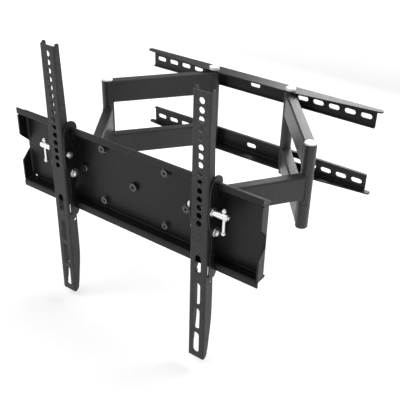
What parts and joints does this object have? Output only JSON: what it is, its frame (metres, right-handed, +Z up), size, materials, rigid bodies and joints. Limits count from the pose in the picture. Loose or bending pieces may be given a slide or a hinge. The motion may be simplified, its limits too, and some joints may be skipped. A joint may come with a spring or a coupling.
{
  "type": "tv wall mount",
  "caption": "Full motion wall mount: two slotted wall rails, two folding arms, a head bracket and a pressed plate carrying two tilting slotted uprights.",
  "frame": {"origin": "middle of the wall bolt pattern, on the wall plane", "axes": "+X along the wall to the right as seen from the room, +Y into the wall, +Z up"},
  "size_m": [0.482, 0.3654, 0.4326],
  "materials": {
    "rail_paint": "satin black powder coat",
    "arm_paint": "satin black powder coat",
    "head_paint": "satin black powder coat",
    "plate_paint": "satin black powder coat",
    "upright_paint": "fine textured dark grey-black powder coat",
    "hook_paint": "satin black powder coat",
    "cap_plastic": "light grey-white moulded plastic",
    "bush_plastic": "black nylon",
    "dark_fastener": "black zinc, slightly shiny",
    "bright_zinc": "bright zinc plate"
  },
  "bodies": {
    "rails": {"wall_rail_upper": "rail_paint", "wall_rail_lower": "rail_paint", "wall_pivot_pins": "dark_fastener", "wall_pivot_nuts": "dark_fastener", "wall_pivot_caps": "cap_plastic"},
    "left_rear_arm": {"left_rear_post": "arm_paint", "left_rear_tube_upper": "arm_paint", "left_rear_tube_lower": "arm_paint", "left_rear_barrels": "arm_paint", "left_wall_bushes": "bush_plastic", "left_elbow_pin": "dark_fastener", "left_elbow_nut": "dark_fastener", "left_elbow_caps": "cap_plastic"},
    "left_front_arm": {"left_front_tube": "arm_paint", "left_front_barrel": "arm_paint", "left_elbow_bushes": "bush_plastic", "left_head_barrel": "arm_paint", "left_head_bushes": "bush_plastic"},
    "right_rear_arm": {"right_rear_post": "arm_paint", "right_rear_tube_upper": "arm_paint", "right_rear_tube_lower": "arm_paint", "right_rear_barrels": "arm_paint", "right_wall_bushes": "bush_plastic", "right_elbow_pin": "dark_fastener", "right_elbow_nut": "dark_fastener", "right_elbow_caps": "cap_plastic"},
    "right_front_arm": {"right_front_tube": "arm_paint", "right_front_barrel": "arm_paint", "right_elbow_bushes": "bush_plastic", "right_head_barrel": "arm_paint"},
    "head": {"head_level_plate": "head_paint", "head_channel": "head_paint", "head_pivot_pins": "dark_fastener", "head_pivot_nuts": "dark_fastener", "centre_bolt": "dark_fastener", "centre_nut": "dark_fastener", "level_corner_bolts": "dark_fastener", "level_corner_nuts": "dark_fastener", "level_side_bolts": "dark_fastener", "level_washers": "dark_fastener"},
    "plate": {"tv_plate": "plate_paint"},
    "left_hook": {"left_hook_bracket": "hook_paint", "left_tilt_bolt": "bright_zinc", "left_tilt_nut": "bright_zinc", "left_clamp_washer": "bright_zinc", "left_clamp_nut": "bright_zinc"},
    "left_clamp": {"left_clamp_bolt": "bright_zinc"},
    "left_tommy_bar": {"left_tommy_bar": "bright_zinc"},
    "left_upright": {"left_upright": "upright_paint"},
    "right_hook": {"right_hook_bracket": "hook_paint", "right_tilt_bolt": "bright_zinc", "right_tilt_nut": "bright_zinc", "right_clamp_washer": "bright_zinc", "right_clamp_nut": "bright_zinc"},
    "right_clamp": {"right_clamp_bolt": "bright_zinc"},
    "right_tommy_bar": {"right_tommy_bar": "bright_zinc"},
    "right_upright": {"right_upright": "upright_paint"}
  },
  "joints": [
    {"name": "arm_extend", "type": "hinge", "parent": "rails", "child": "left_rear_arm", "pos_m": [-0.079, -0.0175, 0], "axis": [0, 0, 1], "range_deg": [-48.5, 20]},
    {"name": "left_elbow", "type": "hinge", "parent": "left_rear_arm", "child": "left_front_arm", "pos_m": [-0.19986, -0.17053, 0], "axis": [0, 0, 1], "range_deg": [-41.8, 101.22]},
    {"name": "left_head_pivot", "type": "hinge", "parent": "left_front_arm", "child": "head", "pos_m": [-0.104, -0.31093, 0], "axis": [0, 0, 1], "range_deg": [-52.72, 21.8]},
    {"name": "right_wall_pivot", "type": "hinge", "parent": "rails", "child": "right_rear_arm", "pos_m": [0.079, -0.0175, 0], "axis": [0, 0, 1], "range_deg": [-20.1, 48.6]},
    {"name": "right_elbow", "type": "hinge", "parent": "right_rear_arm", "child": "right_front_arm", "pos_m": [0.19986, -0.17053, 0], "axis": [0, 0, 1], "range_deg": [-101.22, 41.8]},
    {"name": "plate_level", "type": "hinge", "parent": "head", "child": "plate", "pos_m": [0, -0.33163, 0], "axis": [0, 1, 0], "range_deg": [-3, 3]},
    {"name": "left_width", "type": "slide", "parent": "plate", "child": "left_hook", "axis": [1, 0, 0], "range_m": [-0.0738, 0.0762]},
    {"name": "left_tilt", "type": "hinge", "parent": "left_hook", "child": "left_upright", "pos_m": [-0.1262, -0.34843, -0.0065], "axis": [1, 0, 0], "range_deg": [-1, 10]},
    {"name": "left_clamp_turn", "type": "hinge", "parent": "left_hook", "child": "left_clamp", "pos_m": [-0.1262, -0.35693, 0.029], "axis": [1, 0, 0], "range_deg": [-180, 45]},
    {"name": "left_tommy_slide", "type": "slide", "parent": "left_clamp", "child": "left_tommy_bar", "axis": [0, 0, 1], "range_m": [0, 0.0178]},
    {"name": "right_width", "type": "slide", "parent": "plate", "child": "right_hook", "axis": [1, 0, 0], "range_m": [-0.0926, 0.0574]},
    {"name": "right_tilt", "type": "hinge", "parent": "right_hook", "child": "right_upright", "pos_m": [0.1426, -0.34843, -0.0065], "axis": [1, 0, 0], "range_deg": [-1, 10]},
    {"name": "right_clamp_turn", "type": "hinge", "parent": "right_hook", "child": "right_clamp", "pos_m": [0.1426, -0.35693, 0.029], "axis": [1, 0, 0], "range_deg": [-180, 45]},
    {"name": "right_tommy_slide", "type": "slide", "parent": "right_clamp", "child": "right_tommy_bar", "axis": [0, 0, 1], "range_m": [0, 0.0178]}
  ],
  "couplings": [
    {"joint": "left_elbow", "follows": "arm_extend", "ratio": -2.085},
    {"joint": "left_head_pivot", "follows": "arm_extend", "ratio": 1.085},
    {"joint": "right_wall_pivot", "follows": "arm_extend", "ratio": -1},
    {"joint": "right_elbow", "follows": "arm_extend", "ratio": 2.085}
  ]
}
